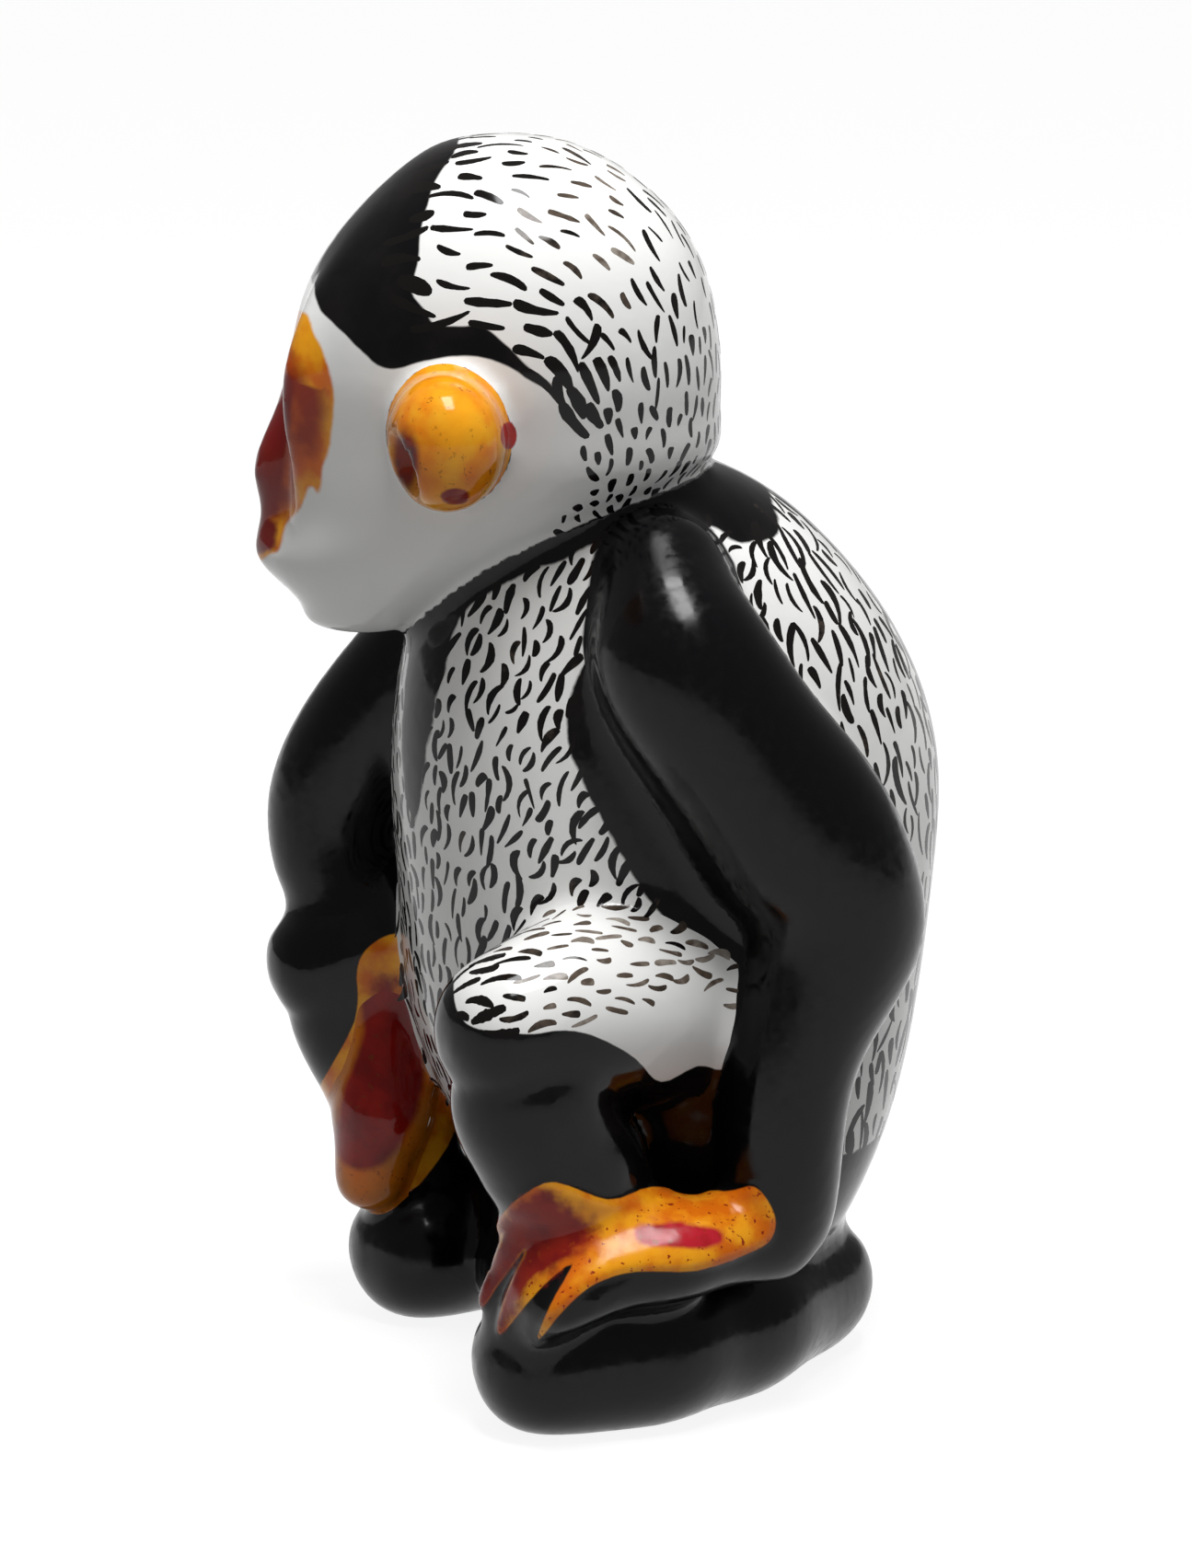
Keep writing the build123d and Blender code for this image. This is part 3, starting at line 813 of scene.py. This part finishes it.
head_across = np.array([math.cos(HEAD_TURN), -math.sin(HEAD_TURN), 0.0])
fur_field = depth_in(head_view, FUR_OUTLINE)
from_cap = -cap
fur_across, fur_down = head_view.T
backwards_share = part_way(fur_across, *SKULL_ACROSS)
lower_share = part_way(fur_down, *SKULL_DOWN)
low_share = part_way(fur_down, *NECK_DOWN)
tilt = np.radians(8 + backwards_share * (35 + 40 * lower_share) + 14 * low_share)
low_back = part_way(fur_down, *LOW_BACK_DOWN) * part_way(fur_across, *LOW_BACK_ACROSS)
thin = part_way(from_cap, *THINNING)
faint = part_way(from_cap, *FADING) * part_way(fur_down, *FADING_UP)
fur(
    "head_fur", "head", tries=60000, seed=11,
    cover=np.clip(fur_field * 2 + 0.3, 0, 1) * (head_share > 0.8) * (cap < 1.3),
    length=3.4 - 1.4 * thin - 0.8 * low_share,
    width=0.98 - 0.46 * thin + 0.08 * low_back,
    ink=0.98 - 0.58 * faint,
    along=unfolded(lie(np.cos(tilt), -np.sin(tilt)), across_head, head_across),
    gap=0.98 + 0.55 * thin - 0.40 * low_back, bend=0.10,
)

# Ears: two small cupped lobes, pressed in a mould and luted to the sides of the head, painted in a mottled
# orange, violet-brown painted shade in the front hollow, and fine brown specks where the colour has pooled.
EAR_HOLLOW_SHADE_PLACE = np.array([441, 500])
EAR_HOLLOW_SHADE_SIZE = np.array([13, 34])
# Painted shade: a violet-brown spot in the hollow at the front of each ear
ear_hollow = spot(head_view, EAR_HOLLOW_SHADE_PLACE, EAR_HOLLOW_SHADE_SIZE)
ear_glaze = painted_glaze(
    "ear_glaze", ORANGE,
    [
        ("ear_shade", DEEP_ORANGE, srgb(230, 166, 40), 0.9, 0.7, 2.2),
        ("ear_hollow", srgb(92, 48, 52), RED_BROWN, 0.25, 0.35, 1.5),
        ("ear_dot", BRIGHT_RED, srgb(150, 22, 18), 0.05, 0.06, 1.0),
        ("ear_foot", RED_BROWN, DARK_RED, 0.1, 0.1, 1.0),
    ],
    specks=srgb(120, 62, 14),
)
for name in ("left_ear", "right_ear"):
    casting(
        name, ear_glaze, "orange_glaze", ear_shade=np.zeros(point_count), ear_hollow=ear_hollow,
        ear_dot=ear_dot, ear_foot=ear_foot,
    )

# Torso: a hollow upright casting that stands on its base with a round vent under it. Its flanks and back
# are white with fur strokes, and the collar, nape, bib and spine are brushed in solid black. The folds at
# the arms and the hollow under the left thigh are black as painted shade.
COLLAR_WIDTH = 1.9
ARM_EDGE_WIDTH = 0.5
SPINE_TURN = 0.20
BACK_RADIUS = 14.0
RUMP_HEIGHT = 18.0
BELLY_HEIGHT = 15.0
BACK_STARTS = 4.0
CHEST_ENDS = 2.0
BACK_TURN = (3.0, 8.0)
NAPE_LIMIT = 680
NAPE_OUTLINE = (
    (690, 600), (705, 548), (735, 505), (810, 490), (845, 575), (800, 590), (765, 572), (725, 600),
)
BIB_OUTLINE = (
    (300, 630), (512, 630), (500, 673), (492, 692), (478, 740), (471, 776), (462, 830), (455, 880),
    (440, 940), (425, 990), (300, 1000),
)
# Painted shade: black in the hollow under the left thigh, between the leg and the arm
LAP_SHADE_OUTLINE = ((660, 1170), (717, 1170), (760, 1150), (860, 1140), (860, 1330), (640, 1330))
# Painted shade: black in the folds between the arms and the flanks
ARMPIT_SHADE_OUTLINE = (
    (668, 640), (644, 700), (626, 742), (614, 799), (648, 880), (683, 944), (733, 1017), (778, 1090),
    (800, 1160), (880, 1160), (905, 1000), (840, 880), (790, 780), (740, 650),
)


def distance_to(name, points):
    """How far points on the surface lie from another casting, in millimetres."""
    return np.array([node_trees[name].find_nearest(Vector(p))[3] for p in points]) / MM


midline = PHOTO_TARGET[0]
sides = mm[:, 0] - midline
body_folded = mm.copy()
body_folded[:, 0] = midline + np.abs(sides)
body_view = flat_view(body_folded)
on_torso = np.isin(np.arange(point_count), quads[quad_label == node_names.index("torso")])
collar = np.full(point_count, FAR_OUTSIDE)
collar[on_torso] = COLLAR_WIDTH - distance_to("head", surface[on_torso])
arm_edge = np.full(point_count, FAR_OUTSIDE)
for arm in ("left_arm", "right_arm"):
    arm_edge[on_torso] = np.maximum(arm_edge[on_torso], ARM_EDGE_WIDTH - distance_to(arm, surface[on_torso]))
behind = mm[:, 1] > BACK_STARTS
folded_facing = facing * np.where(sides < 0, -1, 1)[:, None] ** np.array([1, 0, 0])
spine = np.where(behind, (SPINE_TURN - folded_facing @ to_viewer) * BACK_RADIUS, FAR_OUTSIDE)
rump = np.where(behind, RUMP_HEIGHT - mm[:, 2], BELLY_HEIGHT - mm[:, 2])
# Painted shade in the folds at the arms, laid into the torso's black
armpit_shade = depth_in(body_view, ARMPIT_SHADE_OUTLINE)
past_neck = behind | (body_view[:, 0] > NAPE_LIMIT)
nape = np.where(past_neck, depth_in(body_view, NAPE_OUTLINE), FAR_OUTSIDE)
bib = np.where(mm[:, 1] < CHEST_ENDS, depth_in(body_view, BIB_OUTLINE), FAR_OUTSIDE)
# Painted shade in the hollow under the left thigh, laid into the torso's black
lap_shade = depth_in(body_view, LAP_SHADE_OUTLINE)
# Black paint and painted shade in one field: the folds at the arms and the hollow under the thigh are
# painted shade
torso_black_and_shade = np.max([collar, arm_edge, spine, rump, armpit_shade, nape, bib, lap_shade], 0)
torso_glaze = painted_glaze(
    "torso_glaze", WHITE, [("painted_black", BLACK, BROWN_BLACK, 0.4, 0.14, 2.4)]
)
casting("torso", torso_glaze, "white_glaze", painted_black=torso_black_and_shade)
torso_share = belongs[:, node_names.index("torso")]
at_back = part_way(mm[:, 1], *BACK_TURN)
body_across = np.array([1.0, 0.0, 0.0])
chest_lie = lie(np.full(point_count, -0.45), np.full(point_count, -0.9))
back_lie = lie(np.full(point_count, 0.45), np.full(point_count, -0.9))
torso_lie = chest_lie * (1 - at_back[:, None]) + back_lie * at_back[:, None]
fur(
    "torso_fur", "torso", tries=60000, seed=23,
    cover=(torso_black_and_shade < 0.2) * (torso_share > 0.8),
    length=2.0 + 0.9 * at_back,
    width=0.60 + 0.10 * at_back,
    ink=np.full(point_count, 0.82),
    along=unfolded(torso_lie, sides, body_across),
    gap=np.full(point_count, 1.0), bend=0.22,
)

# Legs: solid thighs and shins luted to the torso and feet. The left thigh's top is white with strokes that
# run along the leg and close up into the solid black of the knee and shin, and the right leg is black.
KNEE_ACROSS = (600, 510)
RIGHT_HAND_TURN = 0.1
PALM_RED_INSET = 0.9
THIGH_OUTLINE = (
    (500, 1040), (492, 1075), (507, 1113), (564, 1124), (614, 1120), (649, 1128), (691, 1151), (717, 1176),
    (756, 1159), (800, 1150), (840, 1000), (740, 900), (600, 900), (520, 1000),
)
BARE_OUTLINE = ((630, 1112), (700, 1088), (775, 1066), (800, 1150), (717, 1180), (650, 1135))
thigh = depth_in(body_view, THIGH_OUTLINE)
bare = depth_in(body_view, BARE_OUTLINE)
towards_knee = part_way(body_view[:, 0], *KNEE_ACROSS)
leg_lie = unfolded(lie(np.full(point_count, -0.95), np.full(point_count, -0.18)), sides, body_across)
RED_PATCH_OUTLINE = ((688, 1338), (702, 1330), (768, 1332), (786, 1344), (770, 1357), (700, 1354))
FINGER_RED_OUTLINE = (
    (650, 1335), (600, 1300), (560, 1310), (515, 1370), (500, 1410), (540, 1450), (570, 1405), (625, 1362),
)
LEFT_HAND_LAYERS = [
    ("hand", ORANGE, DEEP_ORANGE, 0.1, 0.08, 2.0),
    ("finger_red", srgb(150, 34, 20), DARK_RED, 1.3, 0.6, 1.6),
    ("red_patch", srgb(188, 34, 48), srgb(160, 24, 30), 0.35, 0.25, 1.6),
]
plain_view = flat_view(mm)
left_hand_paint = left_hand_depth(mm, facing)
left_hand_fields = {
    "hand": left_hand_paint,
    "finger_red": np.minimum(depth_in(plain_view, FINGER_RED_OUTLINE), left_hand_paint * 3),
    "red_patch": np.minimum(depth_in(plain_view, RED_PATCH_OUTLINE), left_hand_paint * 3),
}
RIGHT_HAND_OUTLINE = (
    (388, 1052), (402, 1028), (430, 1014), (462, 1020), (484, 1046), (477, 1143), (500, 1200), (492, 1232),
    (476, 1260), (446, 1294), (400, 1300), (340, 1290), (340, 1200), (385, 1110),
)
PALM_RED_OUTLINE = (
    (393, 1060), (420, 1050), (441, 1053), (451, 1094), (460, 1151), (456, 1199), (432, 1247), (403, 1271),
    (374, 1266), (362, 1237), (376, 1175), (393, 1118),
)
towards_viewer = facing @ to_viewer
right_hand_paint = np.where(
    towards_viewer > RIGHT_HAND_TURN, depth_in(plain_view, RIGHT_HAND_OUTLINE), FAR_OUTSIDE
)
palm_red = np.where(towards_viewer > 0, depth_in(plain_view, PALM_RED_OUTLINE), FAR_OUTSIDE)
right_hand_fields = {
    "hand": right_hand_paint,
    "finger_red": np.minimum(palm_red - PALM_RED_INSET, right_hand_paint * 3),
    "red_patch": np.full(point_count, FAR_OUTSIDE),
}
leg_glaze = painted_glaze(
    "leg_glaze", WHITE, [("painted_black", BLACK, BROWN_BLACK, 0.15, 0.07, 2.4), *LEFT_HAND_LAYERS]
)
for name in ("left_leg", "right_leg"):
    black_leg = -thigh if name == "left_leg" else np.ones(point_count)
    hand_fields = left_hand_fields if name == "left_leg" else right_hand_fields
    casting(name, leg_glaze, "black_glaze", painted_black=black_leg, **hand_fields)
fur(
    "left_leg_fur", "left_leg", tries=16000, seed=31,
    cover=(thigh > 0.1) * (bare < 0) * (belongs[:, node_names.index("left_leg")] > 0.8),
    length=1.6 + 1.2 * towards_knee,
    width=0.50 + 0.36 * towards_knee,
    ink=np.maximum(0.36 + 0.55 * towards_knee, 0.9 - thigh),
    along=leg_lie, gap=1.25 - 0.3 * towards_knee, bend=0.15,
)

# Feet: two long solid blocks with flat soles, one luted to each side of the base. They are in plain black
# glaze, with the left hand's colour run over the edge of the left one.
black_glaze = painted_glaze("black_glaze", BLACK, LEFT_HAND_LAYERS, gloss=0.19, specks=srgb(150, 48, 16))
for name in ("left_foot", "right_foot"):
    casting(name, black_glaze, "black_glaze", **left_hand_fields)

# Arms: solid black limbs luted along the flanks. The right one ends at its hand in front, and the left one
# stands on the foot, where its sleeve of black closes round the wrist.
casting("left_arm", black_glaze, "black_glaze", **left_hand_fields)
casting("right_arm", black_glaze, "black_glaze", **right_hand_fields)

# Hands: two low solid pieces luted over the feet, the left one with four long fingers. They are painted in
# runny orange and red, with black left between the fingers.
right_hand_glaze = painted_glaze(
    "right_hand_glaze", srgb(214, 124, 20),
    [
        ("hand_shade", DEEP_ORANGE, srgb(168, 96, 20), 0.8, 0.8, 2.6),
        ("palm_red", srgb(158, 28, 18), srgb(124, 18, 16), 0.4, 0.35, 3.0),
    ],
    specks=srgb(116, 50, 14),
)
casting("left_hand", black_glaze, "orange_glaze", **left_hand_fields)
casting(
    "right_hand", right_hand_glaze, "orange_glaze", hand_shade=np.zeros(point_count), palm_red=palm_red
)

# Stage: a plain pale floor of paper under one softbox and an even studio light. The camera stands at the
# photograph's angle and distance, and the paper shows white to it and in the glaze.
TARGET = Vector((-1.27 * MM, -1.66 * MM, 44.2 * MM))
FLOOR_RADIUS = 30
FLOOR_SIDES = 64
SOFTBOX_PLACE = Vector((0.08, -0.02, 0.43))
camera_data = bpy.data.cameras.new("camera")
camera_data.sensor_fit = "VERTICAL"
camera_data.sensor_height = 36
camera_data.lens = 127.8
camera = bpy.data.objects.new("camera", camera_data)
bpy.context.scene.collection.objects.link(camera)
backwards = Vector(to_viewer)
camera.location = TARGET + PHOTO_DISTANCE * MM * backwards
camera.rotation_euler = backwards.to_track_quat("Z", "Y").to_euler()
bpy.context.scene.camera = camera

floor_mesh = bpy.data.meshes.new("floor")
floor_form = bmesh.new()
bmesh.ops.create_circle(floor_form, cap_ends=True, segments=FLOOR_SIDES, radius=FLOOR_RADIUS)
floor_form.to_mesh(floor_mesh)
floor_form.free()
floor = bpy.data.objects.new("floor", floor_mesh)
bpy.context.scene.collection.objects.link(floor)
floor_material = bpy.data.materials.new("floor_paper")
floor_material.use_nodes = True
nodes = floor_material.node_tree.nodes
links = floor_material.node_tree.links
paper = nodes["Principled BSDF"]
paper.inputs["Base Color"].default_value = (0.32, 0.32, 0.32, 1)
paper.inputs["Roughness"].default_value = 0.9
path = nodes.new("ShaderNodeLightPath")
seen = nodes.new("ShaderNodeMath")
seen.operation = "MAXIMUM"
links.new(path.outputs["Is Camera Ray"], seen.inputs[0])
links.new(path.outputs["Is Glossy Ray"], seen.inputs[1])
seen_through = nodes.new("ShaderNodeMath")
seen_through.operation = "MAXIMUM"
links.new(seen.outputs[0], seen_through.inputs[0])
links.new(path.outputs["Is Transmission Ray"], seen_through.inputs[1])
glow = nodes.new("ShaderNodeMath")
glow.operation = "MULTIPLY"
glow.inputs[1].default_value = 0.88
links.new(seen_through.outputs[0], glow.inputs[0])
paper.inputs["Emission Color"].default_value = (1, 1, 1, 1)
links.new(glow.outputs[0], paper.inputs["Emission Strength"])
floor_mesh.materials.append(floor_material)

world = bpy.data.worlds.new("studio")
bpy.context.scene.world = world
world.use_nodes = True
background = world.node_tree.nodes["Background"]
background.inputs["Color"].default_value = (1, 1, 1, 1)
background.inputs["Strength"].default_value = 0.25

softbox_data = bpy.data.lights.new("softbox", "AREA")
softbox_data.shape = "RECTANGLE"
softbox_data.size = 0.12
softbox_data.size_y = 0.22
softbox_data.energy = 1.8
softbox = bpy.data.objects.new("softbox", softbox_data)
bpy.context.scene.collection.objects.link(softbox)
softbox.location = SOFTBOX_PLACE
softbox.rotation_euler = (SOFTBOX_PLACE - TARGET).to_track_quat("Z", "Y").to_euler()

bpy.context.scene.view_settings.view_transform = "Standard"
